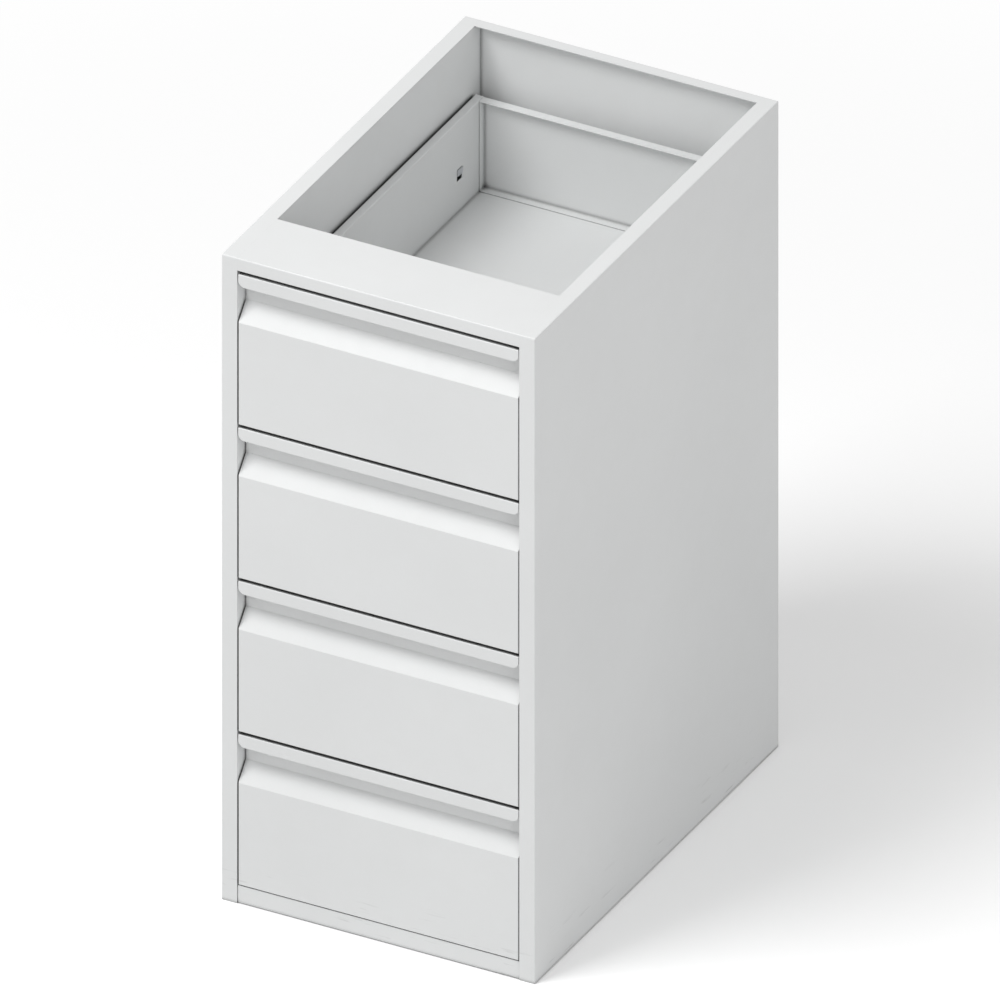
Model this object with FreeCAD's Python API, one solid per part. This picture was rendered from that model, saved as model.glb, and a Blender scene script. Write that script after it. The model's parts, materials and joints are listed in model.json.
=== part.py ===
import FreeCAD, Part
import math
import os

# Under-worktop drawer cabinet in folded sheet steel: double-skinned sides, an open top that a
# worktop closes, and four drawers with a full-width grip channel, each on a pair of full-extension
# ball slides.
# +X is to the right, +Y to the back, +Z up. The origin is on the floor, in the middle of the
# footprint, and the fronts look along -Y. All sizes are in millimetres.

# Carcass
cabinet_width = 400.0
cabinet_depth = 590.0
cabinet_height = 850.0
carcass_sheet = 1.0
fold_radius = 1.5
side_thickness = 20.0
inner_flange = 12.0
top_rail_depth = 98.0
top_rail_height = 17.0
top_rail_return = 12.0
top_rail_flange = 20.0
back_rim_depth = 15.0
back_side_flange = 14.0
bottom_rail_height = 24.0
bottom_rail_recess = 1.0
bottom_rail_side_gap = 0.3
bottom_rail_return = 12.0
bottom_side_flange = 20.0
bottom_rear_flange = 20.0
bottom_corner_notch = 16.0

# Drawer fronts
drawer_count = 4
front_gap = 4.0
lowest_front_gap = 1.0
front_side_gap = 1.25
front_sheet = 1.0
front_depth = 20.0
front_inner_flange = 12.0
lip_height = 16.0
lip_corner_radius = 8.0
grip_wall_drop = 42.0
grip_drop = 63.65
backing_margin = 3.0

# Drawer bodies
tub_sheet = 1.0
tub_back_space = 18.0
tub_rise = 12.0
tub_height = 120.0
tub_rim = 9.0
tub_rim_return = 6.0
rear_wall_flange = 12.0

# Ball slides
slide_space = 12.7
slide_back_space = 16.0
slide_height = 45.7
slide_setback = 2.0
slide_rise = 50.0
member_sheet = 1.2
member_fold = 1.5
ball_diameter = 3.5
flange_setback = 2.0
lip_clearance = 0.4
cage_sheet = 0.8
cage_clearance = 0.3
cage_length = 200.0
stop_width = 8.0
stop_gap = 0.5
hook_width = 12.0
hook_drop = 7.0
hook_inset = 45.0
hook_play = 0.2
bumper_length = 8.0
bumper_setback = 1.5
bumper_height = 30.0
bumper_width = 7.0
bumper_nose = 2.0
bumper_gap = 0.5

# Places that follow from those sizes
half_width = cabinet_width / 2
half_depth = cabinet_depth / 2
inner_half_width = half_width - side_thickness
front_half_width = inner_half_width - front_side_gap
fronts_bottom = bottom_rail_height + lowest_front_gap
fronts_top = cabinet_height - top_rail_height
drawer_pitch = (fronts_top - fronts_bottom) / drawer_count
front_height = drawer_pitch - front_gap
tub_start = front_depth + front_sheet
tub_half_width = inner_half_width - slide_space
tub_length = cabinet_depth - carcass_sheet - tub_back_space - tub_start
slide_start = tub_start + slide_setback
slide_length = cabinet_depth - carcass_sheet - slide_back_space - slide_start
slide_travel = slide_length
moving_length = slide_length - bumper_length - bumper_setback - bumper_gap
web_gap = cage_sheet + 2 * cage_clearance
cage_start = slide_start + (moving_length - cage_length) / 2
front_stop = cage_start - slide_travel / 4 - stop_gap
rear_stop = cage_start + cage_length + slide_travel / 4 + stop_gap

# How far a cut runs past its sheet, and how near two points count as one
overshoot = 1.0
same_place = 1e-6

os.makedirs("parts", exist_ok=True)


def save(shape, node):
    """Write one node's solids to its own file."""
    shape.exportStep("parts/" + node + ".step")
    print(node, len(shape.Solids), "solid(s),", round(shape.Volume / 1000, 1), "cm3")


def point(a, b):
    """A point of a flat outline."""
    return FreeCAD.Vector(a, b, 0)


def lengthwise(a, b):
    """Place an outline of (depth from the front plane, height) in the plane X = 0."""
    return FreeCAD.Vector(0, a - half_depth, b)


def crosswise(a, b):
    """Place an outline of (X, height) in the front plane."""
    return FreeCAD.Vector(a, -half_depth, b)


def block(x, depth, z):
    """A box from three (low, high) pairs."""
    size = [high - low for low, high in (x, depth, z)]
    return Part.makeBox(*size, FreeCAD.Vector(x[0], depth[0] - half_depth, z[0]))


def outline(corners, place):
    """A flat face whose corners are (a, b, radius), each rounded to its own radius."""
    arcs = []
    for i, (a, b, radius) in enumerate(corners):
        corner = point(a, b)
        before = (point(*corners[i - 1][:2]) - corner).normalize()
        after = (point(*corners[(i + 1) % len(corners)][:2]) - corner).normalize()
        if radius == 0:
            arcs.append((corner, None, corner))
            continue
        half_angle = before.getAngle(after) / 2
        inward = (before + after).normalize()
        run = radius / math.tan(half_angle)
        middle = corner + inward * (radius / math.sin(half_angle) - radius)
        arcs.append((corner + before * run, middle, corner + after * run))
    edges = []
    for i, (start, middle, end) in enumerate(arcs):
        previous = arcs[i - 1][2]
        if (start - previous).Length > same_place:
            edges.append(Part.makeLine(place(previous.x, previous.y), place(start.x, start.y)))
        if middle is not None:
            edges.append(Part.Arc(*[place(p.x, p.y) for p in (start, middle, end)]).toShape())
    return Part.Face(Part.Wire(edges))


def folded(path, sheet, radius, place):
    """The section of a sheet that lies to the left of a path, in sharp folds rounded outside."""
    points = [point(*corner) for corner in path]
    ways = [(b - a).normalize() for a, b in zip(points, points[1:])]
    lefts = [point(-way.y, way.x) for way in ways]
    offsets = [lefts[0] * sheet]
    for one, other in zip(lefts, lefts[1:]):
        offsets.append((one + other) * (sheet / (1 + one.dot(other))))
    offsets.append(lefts[-1] * sheet)
    bends = [(radius, 0) if one.cross(other).z > 0 else (0, radius) for one, other in zip(ways, ways[1:])]
    bends = [(0, 0)] + bends + [(0, 0)]
    near = [(p.x, p.y, bend[0]) for p, bend in zip(points, bends)]
    far = [(p.x + o.x, p.y + o.y, bend[1]) for p, o, bend in zip(points, offsets, bends)]
    return outline(near + far[::-1], place)


def across(face, low, high):
    """Run a lengthwise section from X = low to X = high."""
    moved = face.copy()
    moved.translate(FreeCAD.Vector(low, 0, 0))
    return moved.extrude(FreeCAD.Vector(high - low, 0, 0))


def along(face, low, high):
    """Run a crosswise section from depth low to depth high."""
    moved = face.copy()
    moved.translate(FreeCAD.Vector(0, low, 0))
    return moved.extrude(FreeCAD.Vector(0, high - low, 0))


def fuse(*shapes):
    """Join the pieces of one sheet into one solid with clean faces."""
    return shapes[0].fuse(list(shapes[1:])).removeSplitter()


def mirrored(shape):
    """The same piece on the other side of the cabinet."""
    return shape.mirror(FreeCAD.Vector(0, 0, 0), FreeCAD.Vector(1, 0, 0))


def edges_at(shape, **planes):
    """The edges whose both ends lie in the given planes, such as X=200."""
    found = shape.Edges
    for axis, value in planes.items():
        found = [e for e in found if all(abs(getattr(v, axis) - value) < same_place for v in e.Vertexes)]
    return found


# Carcass


def side_outer():
    """Right outer skin: a cassette whose flanges are the stile, the rim, the foot and the rear edge."""
    outer = block((inner_half_width, half_width), (0, cabinet_depth), (0, cabinet_height))
    rounded = edges_at(outer, X=half_width)
    rounded += edges_at(outer, Y=-half_depth, Z=cabinet_height)
    rounded += edges_at(outer, Y=half_depth, Z=cabinet_height)
    outer = outer.makeFillet(fold_radius, rounded)
    hollow = block(
        (inner_half_width - overshoot, half_width - carcass_sheet),
        (carcass_sheet, cabinet_depth - carcass_sheet),
        (carcass_sheet, cabinet_height - carcass_sheet),
    )
    back_slot = block(
        (inner_half_width - overshoot, inner_half_width + 2 * carcass_sheet),
        (cabinet_depth - 2 * carcass_sheet, cabinet_depth + overshoot),
        (-overshoot, cabinet_height - carcass_sheet),
    )
    return outer.cut([hollow, back_slot]).removeSplitter()


def side_inner(slots):
    """Right inner skin: flanged outwards at the front, top and bottom, slotted for the slides."""
    front = carcass_sheet
    bottom = carcass_sheet
    top = cabinet_height - carcass_sheet
    back = cabinet_depth - carcass_sheet
    pan = block((inner_half_width, inner_half_width + inner_flange), (front, back), (bottom, top))
    folds = edges_at(pan, X=inner_half_width, Y=front - half_depth)
    folds += edges_at(pan, X=inner_half_width, Z=bottom)
    folds += edges_at(pan, X=inner_half_width, Z=top)
    pan = pan.makeFillet(fold_radius, folds)
    hollow = block(
        (inner_half_width + carcass_sheet, inner_half_width + inner_flange + overshoot),
        (front + carcass_sheet, back + overshoot),
        (bottom + carcass_sheet, top - carcass_sheet),
    )
    return pan.cut([hollow] + slots)


def back_panel():
    """Back sheet: its top edge is the narrow rim, its side flanges go between the two skins."""
    section = folded(
        [
            (cabinet_depth, 0),
            (cabinet_depth, cabinet_height),
            (cabinet_depth - back_rim_depth, cabinet_height),
        ],
        carcass_sheet,
        fold_radius,
        lengthwise,
    )
    panel = across(section, -inner_half_width, inner_half_width)
    bottom = 2 * carcass_sheet
    top = cabinet_height - 2 * carcass_sheet
    depth = (cabinet_depth - back_side_flange, cabinet_depth)
    outside = inner_half_width + 2 * carcass_sheet
    pan = block((-outside, outside), depth, (bottom, top))
    folds = edges_at(pan, X=outside, Y=half_depth) + edges_at(pan, X=-outside, Y=half_depth)
    pan = pan.makeFillet(fold_radius, folds)
    inside = inner_half_width + carcass_sheet
    hollow = block(
        (-inside, inside),
        (depth[0] - overshoot, cabinet_depth - carcass_sheet),
        (bottom - overshoot, top + overshoot),
    )
    return fuse(panel, pan.cut(hollow))


def bottom_panel():
    """Carcass floor: folded up at the back and down elsewhere, its front flange the bottom rail."""
    flange = cabinet_depth - 2 * carcass_sheet
    section = folded(
        [
            (flange, bottom_rail_height + bottom_rear_flange),
            (flange, bottom_rail_height),
            (bottom_rail_recess, bottom_rail_height),
            (bottom_rail_recess, 0),
            (bottom_rail_recess + bottom_rail_return, 0),
        ],
        carcass_sheet,
        fold_radius,
        lengthwise,
    )
    rail_half_width = inner_half_width - bottom_rail_side_gap
    spine = across(section, -rail_half_width, rail_half_width)
    section = folded(
        [
            (inner_half_width, bottom_rail_height - bottom_side_flange),
            (inner_half_width, bottom_rail_height),
            (-inner_half_width, bottom_rail_height),
            (-inner_half_width, bottom_rail_height - bottom_side_flange),
        ],
        carcass_sheet,
        fold_radius,
        crosswise,
    )
    sides = along(section, bottom_corner_notch, cabinet_depth - bottom_corner_notch)
    return fuse(spine, sides)


def top_rail():
    """Front cross rail: the band above the top drawer and the deep front of the worktop rim."""
    section = folded(
        [
            (top_rail_depth, cabinet_height - top_rail_flange),
            (top_rail_depth, cabinet_height),
            (0, cabinet_height),
            (0, fronts_top),
            (top_rail_return, fronts_top),
        ],
        carcass_sheet,
        fold_radius,
        lengthwise,
    )
    channel = across(section, -inner_half_width, inner_half_width)
    tab = block(
        (inner_half_width - carcass_sheet, inner_half_width),
        (top_rail_return, top_rail_depth - carcass_sheet),
        (fronts_top, cabinet_height - carcass_sheet),
    )
    return fuse(channel, tab, mirrored(tab))


# Ball slides, drawn for the right side. Each point is (u, v): u runs from the inner skin towards
# the drawer, v upwards from the middle of the slide.

outer_reach = slide_space - flange_setback
outer_race = slide_height / 2 - member_sheet
middle_top = outer_race - ball_diameter
middle_web = member_sheet + web_gap
middle_race = middle_top - member_sheet
inner_top = middle_race - ball_diameter
inner_tip = middle_web + member_sheet + web_gap


def slide_point(height):
    """Place a (u, v) outline at the height of one slide."""
    return lambda u, v: crosswise(inner_half_width - u, v + height)


def slide_block(u, v, depth, height):
    """A box given in (u, v) and depth, at the height of one slide."""
    x = (inner_half_width - u[1], inner_half_width - u[0])
    return block(x, depth, (v[0] + height, v[1] + height))


def channel(web, top, reach, lip, sheet, fold, height):
    """Section of a channel that opens towards the drawer, with its lips turned in if they are given."""
    path = [(reach, top), (web, top), (web, -top), (reach, -top)]
    if lip:
        path = [(reach, top - lip)] + path + [(reach, lip - top)]
    return folded(path, sheet, fold, slide_point(height))


def hook_places(start, length):
    """The two places along a member where it hooks into its sheet."""
    return (start + hook_inset, start + length - hook_inset - hook_width)


def hook(face, out, up, depth, height):
    """A lanced hook and the slot that it needs.

    It leaves a member's web at u = face, goes through the sheet in the direction out, and turns
    down behind it, or up where up is -1.
    """
    sheet = carcass_sheet + hook_play
    back = face + out * (sheet + member_sheet)
    neck = slide_block(sorted((face, back)), sorted((0, up * member_sheet)), depth, height)
    behind = sorted((face + out * sheet, back))
    blade = slide_block(behind, sorted((-up * hook_drop, up * member_sheet)), depth, height)
    wide = (depth[0] - hook_play, depth[1] + hook_play)
    room = up * (hook_drop + member_sheet + hook_play)
    slot = slide_block(sorted((face, face + out * carcass_sheet)), sorted((0, room)), wide, height)
    return neck.fuse(blade), slot


def window(face, out, up, depth, height):
    """The hole that a lanced hook leaves in its member's web."""
    long = hook_drop + carcass_sheet + member_sheet
    tall = sorted((up * member_sheet, up * (member_sheet + long)))
    return slide_block(sorted((face, face - out * member_sheet)), tall, depth, height)


def hooked(body, start, length, face, out, up, height):
    """A member with both its hooks, and the slots that they need."""
    slots = []
    for low in hook_places(start, length):
        depth = (low, low + hook_width)
        body = body.cut(window(face, out, up, depth, height))
        tab, slot = hook(face, out, up, depth, height)
        body = body.fuse(tab)
        slots.append(slot)
    return body.removeSplitter(), slots


def stop(face, out, v, depth, height):
    """An ear in a cage's way: at full travel each cage stands between a front and a rear one."""
    reach = sorted((face, face + out * (web_gap - lip_clearance)))
    return slide_block(reach, v, (depth, depth + member_sheet), height)


def slide_outer(height):
    """Cabinet member, and its slots in the inner skin."""
    lip = member_sheet + ball_diameter - lip_clearance
    section = channel(0, slide_height / 2, outer_reach, lip, member_sheet, member_fold, height)
    body = along(section, slide_start, slide_start + slide_length)
    wide = (-stop_width / 2, stop_width / 2)
    body = body.fuse(stop(member_sheet, 1, wide, front_stop - member_sheet, height))
    return hooked(body, slide_start, slide_length, 0, -1, 1, height)


def slide_middle(height):
    """Middle member, which goes out with half the travel."""
    lip = member_sheet + ball_diameter - lip_clearance
    section = channel(middle_web, middle_top, outer_reach, lip, member_sheet, member_fold, height)
    body = along(section, slide_start, slide_start + moving_length)
    wide = (-stop_width / 2, stop_width / 2)
    rear = stop(middle_web, -1, wide, rear_stop, height)
    front = stop(middle_web + member_sheet, 1, wide, front_stop - member_sheet, height)
    return fuse(body, rear, front)


def slide_inner(height):
    """Drawer member, and its slots in the tub."""
    path = [
        (inner_tip, -inner_top),
        (slide_space, -inner_top),
        (slide_space, inner_top),
        (inner_tip, inner_top),
    ]
    section = folded(path, member_sheet, member_fold, slide_point(height))
    body = along(section, slide_start, slide_start + moving_length)
    for side in (-1, 1):
        flange = sorted((side * inner_top, side * (inner_top - member_sheet)))
        body = body.fuse(stop(inner_tip, -1, flange, rear_stop, height))
    return hooked(body, slide_start, moving_length, slide_space, 1, -1, height)


def cage(web, race, height):
    """Ball cage: a thin channel that holds both rows of balls in line."""
    top = race - (ball_diameter - cage_sheet) / 2
    reach = outer_reach - member_sheet - cage_clearance
    section = channel(web, top, reach, 0, cage_sheet, 0, height)
    return along(section, cage_start, cage_start + cage_length)


def bumper(height):
    """Rubber stop at the back of the cabinet member."""
    start = slide_start + moving_length + bumper_gap
    u = (member_sheet, member_sheet + bumper_width)
    body = slide_block(u, (-bumper_height / 2, bumper_height / 2), (start, start + bumper_length), height)
    nose = edges_at(body, Y=start - half_depth, Z=height + bumper_height / 2)
    nose += edges_at(body, Y=start - half_depth, Z=height - bumper_height / 2)
    return body.makeChamfer(bumper_nose, nose)


# Drawers


def front_skin(bottom):
    """Folded front: lip, grip channel with open ends, sloped step, face and returns."""
    top = bottom + front_height
    grip_depth = front_depth - front_sheet
    fold = [
        (front_sheet, top - lip_height),
        (front_sheet, top - front_sheet),
        (grip_depth, top - front_sheet),
        (grip_depth, top - grip_wall_drop),
        (0, top - grip_drop),
        (0, bottom),
        (front_depth, bottom),
        (front_depth, bottom + front_inner_flange),
    ]
    section = folded(fold, front_sheet, fold_radius, lengthwise)
    sheet = across(section, -front_half_width, front_half_width)
    corners = edges_at(sheet, Z=top - lip_height)
    corners = [e for e in corners if abs(e.Vertexes[0].Y - e.Vertexes[1].Y) > front_sheet / 2]
    sheet = sheet.makeFillet(lip_corner_radius, corners)
    cheek = outline(
        [
            (0, bottom, fold_radius),
            (front_depth, bottom, fold_radius),
            (front_depth, top - grip_wall_drop, 0),
            (grip_depth, top - grip_wall_drop, 0),
            (0, top - grip_drop, fold_radius),
        ],
        lengthwise,
    )
    cheek = across(cheek, front_half_width - front_sheet, front_half_width)
    low = bottom - overshoot
    axis = FreeCAD.Vector(front_half_width - fold_radius, fold_radius - half_depth, low)
    waste = block(
        (axis.x, front_half_width + overshoot),
        (-overshoot, fold_radius),
        (low, top - grip_wall_drop),
    ).cut(Part.makeCylinder(fold_radius, front_height, axis))
    return fuse(sheet, cheek, mirrored(cheek)).cut([waste, mirrored(waste)])


def front_backing(bottom):
    """Flat sheet that closes the back of the front."""
    wide = front_half_width - backing_margin
    high = (bottom + backing_margin, bottom + front_height - backing_margin)
    return block((-wide, wide), (front_depth, tub_start), high)


def tub(bottom, slots):
    """Floor and both sides in one folded sheet, with rims over the slides and flanges at the front."""
    base = bottom + tub_rise
    rim = base + tub_height - tub_sheet
    rim_edge = tub_half_width + tub_rim
    path = [
        (-rim_edge, rim - tub_rim_return),
        (-rim_edge, rim),
        (-tub_half_width, rim),
        (-tub_half_width, base),
        (tub_half_width, base),
        (tub_half_width, rim),
        (rim_edge, rim),
        (rim_edge, rim - tub_rim_return),
    ]
    section = folded(path, tub_sheet, fold_radius, crosswise)
    body = along(section, tub_start, tub_start + tub_length)
    flange = block(
        (tub_half_width - tub_sheet, rim_edge + tub_sheet),
        (tub_start, tub_start + tub_sheet),
        (base + fold_radius, rim),
    )
    return fuse(body, flange, mirrored(flange)).cut(slots)


def rear_wall(bottom):
    """Rear wall of the drawer, flanged forwards on all four edges."""
    base = bottom + tub_rise
    half = tub_half_width - tub_sheet
    back = tub_start + tub_length
    front = back - rear_wall_flange
    high = (base + tub_sheet, base + tub_height)
    pan = block((-half, half), (front, back), high)
    pan = pan.makeFillet(fold_radius, edges_at(pan, Y=back - half_depth))
    hollow = block(
        (-half + tub_sheet, half - tub_sheet),
        (front - overshoot, back - tub_sheet),
        (high[0] + tub_sheet, high[1] - tub_sheet),
    )
    return pan.cut(hollow)


# Assembly

skin_slots = []
bumpers = []
for number in range(1, drawer_count + 1):
    name = "drawer_" + str(number) + "_"
    bottom = fronts_top - number * drawer_pitch
    height = bottom + tub_rise + slide_rise

    outer_member, outer_slots = slide_outer(height)
    save(outer_member, name + "slide_outer_right")
    save(mirrored(outer_member), name + "slide_outer_left")
    skin_slots += outer_slots
    rubber = bumper(height)
    bumpers += [mirrored(rubber), rubber]

    middle_member = slide_middle(height)
    save(middle_member, name + "slide_middle_right")
    save(mirrored(middle_member), name + "slide_middle_left")
    outer_cage = cage(member_sheet + cage_clearance, outer_race, height)
    save(Part.makeCompound([mirrored(outer_cage), outer_cage]), name + "outer_cages")
    inner_cage = cage(middle_web + member_sheet + cage_clearance, middle_race, height)
    save(Part.makeCompound([mirrored(inner_cage), inner_cage]), name + "inner_cages")

    inner_member, inner_slots = slide_inner(height)
    save(inner_member, name + "slide_inner_right")
    save(mirrored(inner_member), name + "slide_inner_left")
    save(front_skin(bottom), name + "front_skin")
    save(front_backing(bottom), name + "front_backing")
    save(tub(bottom, inner_slots + [mirrored(slot) for slot in inner_slots]), name + "tub")
    save(rear_wall(bottom), name + "rear_wall")

outer_skin = side_outer()
save(outer_skin, "side_outer_right")
save(mirrored(outer_skin), "side_outer_left")
inner_skin = side_inner(skin_slots)
save(inner_skin, "side_inner_right")
save(mirrored(inner_skin), "side_inner_left")
save(back_panel(), "back_panel")
save(bottom_panel(), "bottom_panel")
save(top_rail(), "top_rail")
save(Part.makeCompound(bumpers), "slide_bumpers")
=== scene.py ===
import json
import math

import bmesh
import bpy
from mathutils import Matrix, Vector


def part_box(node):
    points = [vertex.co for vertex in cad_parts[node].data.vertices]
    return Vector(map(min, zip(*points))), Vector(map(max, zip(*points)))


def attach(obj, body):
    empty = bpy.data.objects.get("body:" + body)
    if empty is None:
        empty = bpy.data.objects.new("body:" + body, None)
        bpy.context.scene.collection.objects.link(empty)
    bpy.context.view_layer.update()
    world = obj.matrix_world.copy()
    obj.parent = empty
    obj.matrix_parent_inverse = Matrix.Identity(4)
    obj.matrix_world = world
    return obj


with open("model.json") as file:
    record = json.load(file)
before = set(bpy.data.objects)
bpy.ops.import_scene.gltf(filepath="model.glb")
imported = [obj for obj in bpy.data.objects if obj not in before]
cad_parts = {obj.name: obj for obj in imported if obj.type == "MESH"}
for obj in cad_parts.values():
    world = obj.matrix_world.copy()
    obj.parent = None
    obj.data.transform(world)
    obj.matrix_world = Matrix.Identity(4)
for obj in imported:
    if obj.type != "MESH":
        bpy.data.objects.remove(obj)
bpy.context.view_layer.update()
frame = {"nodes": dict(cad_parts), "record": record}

# All sizes are in metres. X is to the right, Y to the back and Z up, as in the CAD.

# Bearing balls; a row is (distance from the inner side sheet, distance from the slide's centre line)
DRAWERS = (1, 2, 3, 4)
BALL_DIAMETER = 0.0035
BALLS_IN_ROW = 15
BALL_TO_CAGE_END = 0.006
OUTER_ROW = (0.00665, 0.0199)
INNER_ROW = (0.0072, 0.0152)

# Edges: how far each is broken, and which edges count as sharp. Ends that are ground flush get less.
EDGE_BREAK = 0.00022
FLUSH_BREAK = 0.00003
FLUSH_WELDED = ("side_outer_left", "side_outer_right", "top_rail", "back_panel")
SHARP_ANGLE = math.radians(40)
SAME_PLACE = 0.00002
FLAT_ANGLE = math.radians(0.3)
LARGE_FACES_FIRST = 80

# Spot welds; a mark's profile runs from its hidden foot to its flat centre: (radius, height over the sheet)
TUB_SHEET = 0.001
WELD_PITCH = 0.040
WELD_SIDES = 40
WELD_PROFILE = (
    (0.0027, -0.0003),
    (0.0027, -0.00002),
    (0.0025, 0.00006),
    (0.0023, 0.00008),
    (0.0021, 0.00006),
    (0.0019, 0.00001),
)
FLOOR_WELD_STEPS = (-3.5, -2.5, -1.5, -0.5, 0.5, 1.5, 2.5, 3.5)
SIDE_WELD_STEPS = (-1, 0, 1)

# Finishes, and colours for painted shade
SHELL_PAINT = (0.80, 0.81, 0.81)
TUB_PAINT = (0.775, 0.785, 0.785)
ZINC = ((0.73, 0.745, 0.77), (0.64, 0.655, 0.68))
CAGE_STEEL = ((0.52, 0.52, 0.52), (0.38, 0.38, 0.38))
BALL_STEEL = ((0.80, 0.80, 0.81), (0.70, 0.70, 0.71))
RUBBER = (0.022, 0.022, 0.023)
RUBBER_DUST = (0.09, 0.088, 0.085)
DUST = (0.74, 0.735, 0.72)
SCUFF = (0.35, 0.35, 0.34)
# Painted shade: a mild grey mixed into the paint in corners and folds, by ambient occlusion
PAINTED_CORNER_SHADE = (0.30, 0.30, 0.29)
# Painted shade: near black mixed into the paint in the narrowest gaps and inner corners
PAINTED_GAP_SHADE = (0.03, 0.03, 0.032)
BARE = (0.42, 0.42, 0.43)

# Studio; the camera sees the floor brighter than it is, so that it meets the white backdrop
WHITE = (1, 1, 1, 1)
FLOOR_REACH = 9
FLOOR_GREYS = ((0.80, 0.80, 0.80), (0.82, 0.82, 0.82))
FLOOR_AS_SEEN = (1.22, 1.22, 1.22)
FLOOR_FADE = (1.0, 2.0)
SKY_STRENGTH = 0.5
BACKDROP_STRENGTH = 1.0
LAMP_TARGET = (0, 0, 0.4)

# Camera: the drawing is a parallel projection, and one corner of the cabinet is pinned to its pixel
AZIMUTH = math.radians(27.816)
ELEVATION = math.radians(31.045)
PIXELS_PER_METRE = 885.98
FRAME_PIXELS = 1000.0
CORNER = Vector((-0.2, -0.295, 0.85))
CORNER_PIXEL = (221.49, 253.90)
CAMERA_DISTANCE = 4.0
CLIP = (0.1, 20.0)


# Materials


class Look:
    """A node material, with short calls for the nodes that it needs."""

    def __init__(self, name):
        self.material = bpy.data.materials.new(name)
        self.material.use_nodes = True
        self.nodes = self.material.node_tree.nodes
        self.links = self.material.node_tree.links
        self.shader = self.nodes["Principled BSDF"]
        self.place = self.nodes.new("ShaderNodeTexCoord").outputs["Object"]

    def put(self, value, socket):
        """Link a socket, or write a number or colour."""
        if isinstance(value, bpy.types.NodeSocket):
            self.links.new(value, socket)
        else:
            socket.default_value = value

    def node(self, kind, values=(), **settings):
        """A new node with its inputs, given by name or number, and its settings."""
        made = self.nodes.new("ShaderNode" + kind)
        for key, value in settings.items():
            setattr(made, key, value)
        for socket, value in dict(values).items():
            self.put(value, made.inputs[socket])
        return made

    def noise(self, scale, detail=2.0, rough=0.5, stretch=None, distort=0.0):
        """Noise in the object's own space; stretch scales that space along X, Y and Z."""
        place = self.place
        if stretch:
            place = self.node("Mapping", {"Vector": place, "Scale": stretch}).outputs[0]
        return self.node(
            "TexNoise",
            {"Vector": place, "Scale": scale, "Detail": detail, "Roughness": rough, "Distortion": distort},
        ).outputs["Fac"]

    def ramp(self, value, dark, light):
        """A colour from dark to light where the value goes from 0.3 to 0.7."""
        made = self.node("ValToRGB", {"Fac": value})
        for element, place, colour in zip(made.color_ramp.elements, (0.3, 0.7), (dark, light)):
            element.position = place
            element.color = (*colour, 1)
        return made.outputs["Color"]

    def spread(self, value, low, high, to_low, to_high):
        """The value's range from low to high, spread over to_low to to_high and held at both ends."""
        return self.node(
            "MapRange",
            {"Value": value, "From Min": low, "From Max": high, "To Min": to_low, "To Max": to_high},
        ).outputs[0]

    def math(self, operation, one, other):
        return self.node("Math", {0: one, 1: other}, operation=operation).outputs[0]

    def mix(self, share, one, other):
        """Two colours, with share as the part of the other."""
        made = self.node("Mix", data_type="RGBA")
        self.put(share, made.inputs[0])
        for socket, colour in ((made.inputs[6], one), (made.inputs[7], other)):
            self.put(colour if isinstance(colour, bpy.types.NodeSocket) else (*colour, 1), socket)
        return made.outputs[2]

    def bump(self, height, distance, strength, below=None):
        """A normal from a height; below is the normal that it lies on."""
        values = {"Height": height, "Distance": distance, "Strength": strength}
        if below is not None:
            values["Normal"] = below
        return self.node("Bump", values).outputs[0]

    def set(self, **sockets):
        """Set the shader's sockets, with _ for each space in a name, and return the material."""
        for name, value in sockets.items():
            self.put(value, self.shader.inputs[name.replace("_", " ")])
        return self.material


def darker(colour, share):
    return [channel * share for channel in colour]


def powder_coat(name, colour, edge=False):
    """Satin powder coat on sheet steel: orange peel, slow tone changes, dust, floor scuffs, and painted shade
    in corners, folds and gaps.

    edge is the thin coat on a broken edge, where chips let the steel show.
    """
    look = Look(name)
    slow_tone = look.noise(3.5, detail=3.0, rough=0.55)
    paint = look.ramp(slow_tone, darker(colour, 0.955), colour)
    dust = look.spread(look.noise(38.0, detail=6.0, rough=0.65), 0.42, 0.72, 0.0, 0.10)
    paint = look.mix(dust, paint, DUST)
    flecks = look.spread(look.noise(950.0, detail=2.0, rough=0.6), 0.66, 0.74, 0.0, 0.18)
    paint = look.mix(flecks, paint, darker(colour, 0.7))

    height = look.node("SeparateXYZ", {0: look.place}).outputs["Z"]
    near_floor = look.spread(height, 0.004, 0.07, 1.0, 0.0)
    streaks = look.noise(210.0, detail=3.0, rough=0.6, stretch=(0.10, 0.10, 1.0))
    scuffs = look.spread(streaks, 0.62, 0.72, 0.0, 0.35)
    paint = look.mix(look.math("MULTIPLY", near_floor, scuffs), paint, SCUFF)

    # Painted shade: where ambient occlusion finds the surface hemmed in (corners, folds, the gaps between
    # drawers), the paint is darkened, first towards grey, then almost to black
    open_sky = look.node("AmbientOcclusion", {"Distance": 0.009}, samples=8).outputs["AO"]
    paint = look.mix(look.spread(open_sky, 0.3, 0.85, 0.22, 0.0), paint, PAINTED_CORNER_SHADE)
    # Painted shade: near black in the gaps between drawers and in tight inner corners, where ambient
    # occlusion is lowest
    paint = look.mix(look.spread(open_sky, 0.2, 0.76, 0.97, 0.0), paint, PAINTED_GAP_SHADE)

    if edge:
        chips = look.spread(look.noise(420.0, detail=3.0, rough=0.6), 0.60, 0.66, 0.0, 0.75)
        thin_coat = look.mix(0.12, paint, BARE)
        paint = look.mix(chips, thin_coat, BARE)

    rough = look.spread(look.noise(60.0, detail=4.0, rough=0.6), 0.3, 0.7, 0.35, 0.47)
    orange_peel = look.bump(look.noise(520.0, detail=2.0, rough=0.5), 0.00009, 0.7)
    sheet_waves = look.bump(look.noise(5.5, detail=1.0, rough=0.4), 0.0006, 0.4, below=orange_peel)
    return look.set(
        Base_Color=paint, Roughness=rough, Normal=sheet_waves, Coat_Weight=0.12, Coat_Roughness=0.25
    )


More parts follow.
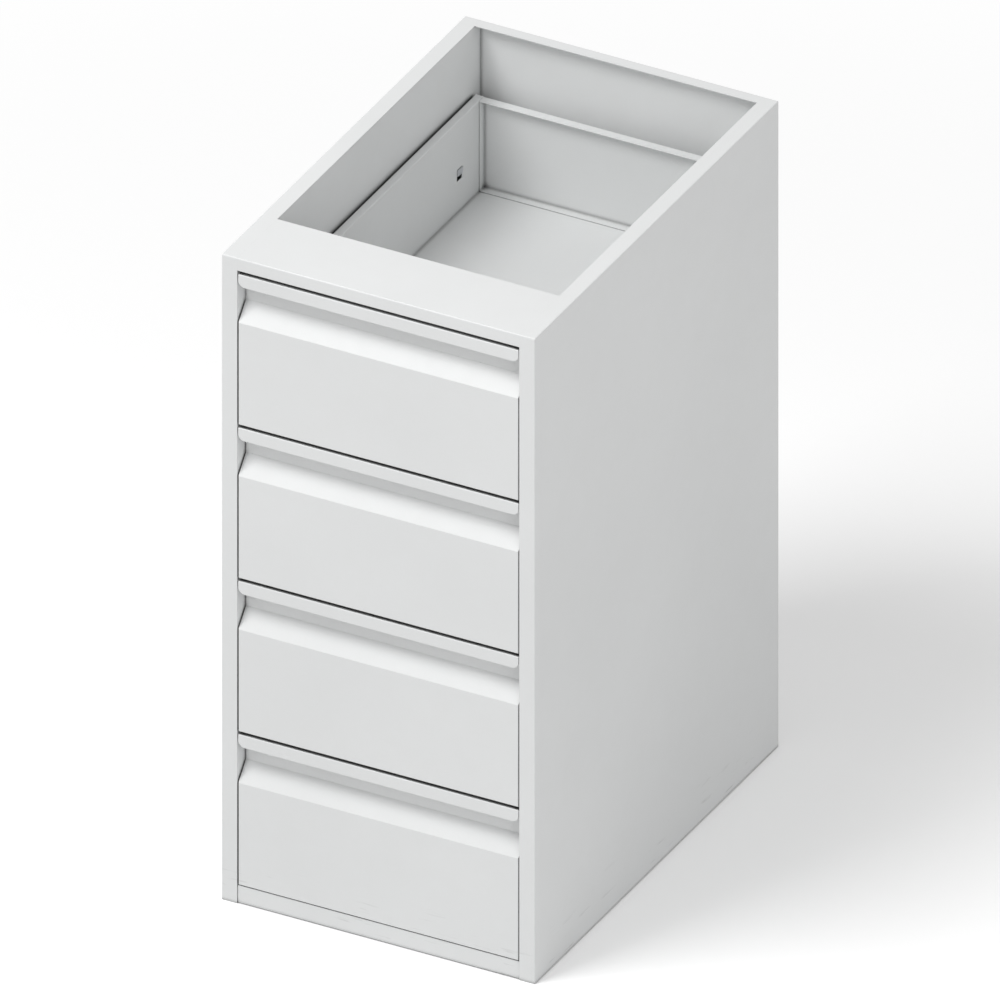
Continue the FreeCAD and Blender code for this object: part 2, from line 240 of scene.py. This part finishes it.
def strip_steel(name, tones, edge=False):
    """Rolled strip in its light and dark tone: lines along its length, a faint cloud and a film of oil."""
    light, dark = tones
    look = Look(name)
    lines = look.noise(900.0, detail=3.0, rough=0.6, stretch=(1.0, 0.006, 1.0))
    cloud = look.noise(14.0, detail=3.0, rough=0.5, distort=0.4)
    tone = look.ramp(lines, dark, light)
    tone = look.mix(look.spread(cloud, 0.4, 0.75, 0.0, 0.30), tone, darker(light, 0.82))
    if edge:
        tone = look.mix(0.45, tone, BARE)
    rolled = look.spread(lines, 0.3, 0.7, 0.27, 0.34)
    oil = look.spread(cloud, 0.3, 0.7, -0.02, 0.05)
    rough = look.math("ADD", rolled, oil)
    return look.set(Base_Color=tone, Metallic=1.0, Roughness=rough, Normal=look.bump(lines, 0.000012, 0.5))


def rubber(name):
    """Matt black rubber with a moulded grain and a little dust."""
    look = Look(name)
    grain = look.noise(900.0, detail=3.0, rough=0.6)
    dust = look.spread(look.noise(160.0, detail=4.0, rough=0.6), 0.45, 0.75, 0.0, 0.35)
    tone = look.mix(dust, RUBBER, RUBBER_DUST)
    rough = look.spread(grain, 0.3, 0.7, 0.68, 0.86)
    return look.set(Base_Color=tone, Roughness=rough, Normal=look.bump(grain, 0.00012, 0.7))


# For each material slot: the look of its faces and the look of its broken edges
looks = {
    "carcass_paint": (
        powder_coat("carcass_paint", SHELL_PAINT),
        powder_coat("carcass_edge", SHELL_PAINT, edge=True),
    ),
    "front_paint": (
        powder_coat("front_paint", SHELL_PAINT),
        powder_coat("front_edge", SHELL_PAINT, edge=True),
    ),
    "tub_paint": (
        powder_coat("tub_paint", TUB_PAINT),
        powder_coat("tub_edge", TUB_PAINT, edge=True),
    ),
    "slide_zinc": (
        strip_steel("slide_zinc", ZINC),
        strip_steel("slide_edge", ZINC, edge=True),
    ),
    "cage_steel": (
        strip_steel("cage_steel", CAGE_STEEL),
        strip_steel("cage_edge", CAGE_STEEL, edge=True),
    ),
    "bumper_rubber": (rubber("bumper_rubber"),) * 2,
}
ball_look = strip_steel("ball_steel", BALL_STEEL)


# Solids of the part


def joined_faces():
    """A node group that joins split corners and shades every face smooth."""
    group = bpy.data.node_groups.new("joined_faces", "GeometryNodeTree")
    group.interface.new_socket("Geometry", in_out="INPUT", socket_type="NodeSocketGeometry")
    group.interface.new_socket("Geometry", in_out="OUTPUT", socket_type="NodeSocketGeometry")
    start = group.nodes.new("NodeGroupInput")
    merge = group.nodes.new("GeometryNodeMergeByDistance")
    merge.inputs["Distance"].default_value = SAME_PLACE
    smooth = group.nodes.new("GeometryNodeSetShadeSmooth")
    end = group.nodes.new("NodeGroupOutput")
    group.links.new(start.outputs[0], merge.inputs["Geometry"])
    group.links.new(merge.outputs[0], smooth.inputs["Geometry"])
    group.links.new(smooth.outputs[0], end.inputs[0])
    return group


def dress(node, material, edge_material, joined):
    """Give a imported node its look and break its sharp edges; folds stay round and faces flat."""
    obj = frame["nodes"][node]
    obj.data.materials.clear()
    obj.data.materials.append(material)
    obj.data.materials.append(edge_material)
    obj.modifiers.new("joined", "NODES").node_group = joined
    whole = obj.modifiers.new("whole_faces", "DECIMATE")
    whole.decimate_type = "DISSOLVE"
    whole.angle_limit = FLAT_ANGLE
    bevel = obj.modifiers.new("broken_edges", "BEVEL")
    bevel.width = FLUSH_BREAK if node in FLUSH_WELDED else EDGE_BREAK
    bevel.segments = 2
    bevel.limit_method = "ANGLE"
    bevel.angle_limit = SHARP_ANGLE
    bevel.use_clamp_overlap = False
    bevel.harden_normals = False
    bevel.material = 1
    normals = obj.modifiers.new("flat_faces", "WEIGHTED_NORMAL")
    normals.keep_sharp = False
    normals.weight = LARGE_FACES_FIRST


joined = joined_faces()
for part in frame["record"]["subparts"]:
    face_look, edge_look = looks[part["material_slot"]]
    dress(part["node"], face_look, edge_look, joined)


# Small pieces that the solids leave out


def add_piece(name, mesh, material, body):
    """Turn a bmesh into a smooth piece that rides on a body."""
    for face in mesh.faces:
        face.smooth = True
    data = bpy.data.meshes.new(name)
    mesh.to_mesh(data)
    mesh.free()
    data.materials.append(material)
    piece = bpy.data.objects.new(name, data)
    bpy.context.scene.collection.objects.link(piece)
    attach(piece, body)


def ball_rows(slide, cages, row):
    """The balls of a drawer's outer or inner cages: rows above and below the centre, on both sides."""
    side_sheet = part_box("side_inner_right")[0].x
    slide_low, slide_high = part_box(slide)
    cage_low, cage_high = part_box(cages)
    first = cage_low.y + BALL_TO_CAGE_END
    last = cage_high.y - BALL_TO_CAGE_END
    gap = (last - first) / (BALLS_IN_ROW - 1)
    middle = (slide_low.z + slide_high.z) / 2
    from_sheet, from_middle = row
    mesh = bmesh.new()
    for side in (-1, 1):
        for up in (-1, 1):
            for i in range(BALLS_IN_ROW):
                place = Vector((side * (side_sheet - from_sheet), first + i * gap, middle + up * from_middle))
                bmesh.ops.create_icosphere(
                    mesh, subdivisions=2, radius=BALL_DIAMETER / 2, matrix=Matrix.Translation(place)
                )
    return mesh


def weld_mark(mesh, place, normal):
    """One spot weld: a low ring round a flat centre, as a closed shape let into its sheet."""
    turn = normal.to_track_quat("Z", "Y")
    angles = [2 * math.pi * i / WELD_SIDES for i in range(WELD_SIDES)]
    rings = []
    for radius, height in WELD_PROFILE:
        points = [Vector((radius * math.cos(a), radius * math.sin(a), height)) for a in angles]
        rings.append([mesh.verts.new(place + turn @ point) for point in points])
    for outer, inner in zip(rings, rings[1:]):
        for i in range(WELD_SIDES):
            mesh.faces.new((outer[i - 1], outer[i], inner[i], inner[i - 1]))
    mesh.faces.new(list(reversed(rings[0])))
    mesh.faces.new(rings[-1])


def weld_marks(rear_wall):
    """Spot welds that hold a rear wall to its tub: a row along the floor flange, one up each side flange."""
    low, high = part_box(rear_wall)
    line = (low.y + high.y) / 2
    middle = (low.z + high.z) / 2
    tub_floor = low.z + TUB_SHEET
    tub_side = high.x - TUB_SHEET
    mesh = bmesh.new()
    for step in FLOOR_WELD_STEPS:
        weld_mark(mesh, Vector((step * WELD_PITCH, line, tub_floor)), Vector((0, 0, 1)))
    for step in SIDE_WELD_STEPS:
        for way in (-1, 1):
            place = Vector((way * tub_side, line, middle + step * WELD_PITCH))
            weld_mark(mesh, place, Vector((-way, 0, 0)))
    return mesh


for number in DRAWERS:
    drawer = "drawer_%d" % number
    for kind, row in (("outer", OUTER_ROW), ("inner", INNER_ROW)):
        balls = ball_rows(drawer + "_slide_outer_right", drawer + "_" + kind + "_cages", row)
        body = drawer + "_cages_" + kind
        add_piece(drawer + "_" + kind + "_balls", balls, ball_look, body)
    marks = weld_marks(drawer + "_rear_wall")
    add_piece(drawer + "_weld_marks", marks, looks["tub_paint"][0], drawer)


# Studio


def add_floor():
    """A pale floor that keeps the shadow near the cabinet and fades to white further out."""
    mesh = bpy.data.meshes.new("floor")
    corners = [(x * FLOOR_REACH, y * FLOOR_REACH, 0) for x, y in ((-1, -1), (1, -1), (1, 1), (-1, 1))]
    mesh.from_pydata(corners, [], [(0, 1, 2, 3)])
    floor = bpy.data.objects.new("floor", mesh)
    bpy.context.scene.collection.objects.link(floor)
    look = Look("floor")
    path = look.node("LightPath")
    seen = look.math("MAXIMUM", path.outputs["Is Camera Ray"], path.outputs["Is Glossy Ray"])
    pale = look.mix(look.noise(2.0), *FLOOR_GREYS)
    look.set(Base_Color=look.mix(seen, pale, FLOOR_AS_SEEN), Roughness=0.9, Specular_IOR_Level=0.0)
    distance = look.node("VectorMath", {0: look.place}, operation="LENGTH").outputs["Value"]
    far = look.math("MULTIPLY", look.spread(distance, *FLOOR_FADE, 0.0, 1.0), seen)
    white = look.node("Emission", {"Color": WHITE, "Strength": BACKDROP_STRENGTH})
    both = look.node("MixShader", {0: far, 1: look.shader.outputs[0], 2: white.outputs[0]})
    look.links.new(both.outputs[0], look.nodes["Material Output"].inputs["Surface"])
    mesh.materials.append(look.material)


def add_world():
    """A soft white sky; the camera and glossy surfaces see it as pure white."""
    world = bpy.data.worlds.new("studio")
    world.use_nodes = True
    bpy.context.scene.world = world
    nodes = world.node_tree.nodes
    links = world.node_tree.links
    sky = nodes["Background"]
    sky.inputs["Color"].default_value = WHITE
    sky.inputs["Strength"].default_value = SKY_STRENGTH
    backdrop = nodes.new("ShaderNodeBackground")
    backdrop.inputs["Color"].default_value = WHITE
    backdrop.inputs["Strength"].default_value = BACKDROP_STRENGTH
    rays = nodes.new("ShaderNodeLightPath")
    chosen = nodes.new("ShaderNodeMixShader")
    seen = nodes.new("ShaderNodeMath")
    seen.operation = "MAXIMUM"
    links.new(rays.outputs["Is Camera Ray"], seen.inputs[0])
    links.new(rays.outputs["Is Glossy Ray"], seen.inputs[1])
    links.new(seen.outputs[0], chosen.inputs[0])
    links.new(sky.outputs[0], chosen.inputs[1])
    links.new(backdrop.outputs[0], chosen.inputs[2])
    links.new(chosen.outputs[0], nodes["World Output"].inputs["Surface"])


def add_lamp(name, place, size, power):
    """A soft square lamp that looks at the middle of the cabinet."""
    data = bpy.data.lights.new(name, "AREA")
    data.shape = "SQUARE"
    data.size = size
    data.energy = power
    lamp = bpy.data.objects.new(name, data)
    bpy.context.scene.collection.objects.link(lamp)
    lamp.location = place
    lamp.rotation_euler = (Vector(LAMP_TARGET) - Vector(place)).to_track_quat("-Z", "Y").to_euler()


def add_camera():
    """The drawing's own view, placed so that CORNER falls on CORNER_PIXEL."""
    back = Vector(
        (
            math.sin(AZIMUTH) * math.cos(ELEVATION),
            -math.cos(AZIMUTH) * math.cos(ELEVATION),
            math.sin(ELEVATION),
        )
    )
    right = Vector((math.cos(AZIMUTH), math.sin(AZIMUTH), 0.0))
    up = back.cross(right)
    data = bpy.data.cameras.new("camera")
    data.type = "ORTHO"
    data.ortho_scale = FRAME_PIXELS / PIXELS_PER_METRE
    data.clip_start, data.clip_end = CLIP
    camera = bpy.data.objects.new("camera", data)
    bpy.context.scene.collection.objects.link(camera)
    camera.rotation_mode = "QUATERNION"
    camera.rotation_quaternion = (-back).to_track_quat("-Z", "Y")
    to_right, to_bottom = ((FRAME_PIXELS / 2 - pixel) / PIXELS_PER_METRE for pixel in CORNER_PIXEL)
    camera.location = CORNER + right * to_right - up * to_bottom + back * CAMERA_DISTANCE
    bpy.context.scene.camera = camera


bpy.context.scene.view_settings.view_transform = "Standard"
add_floor()
add_world()
add_lamp("key", (-1.3, -2.0, 4.3), size=1.8, power=103)
add_lamp("fill", (3.2, -2.2, 1.8), size=2.5, power=24)
add_camera()
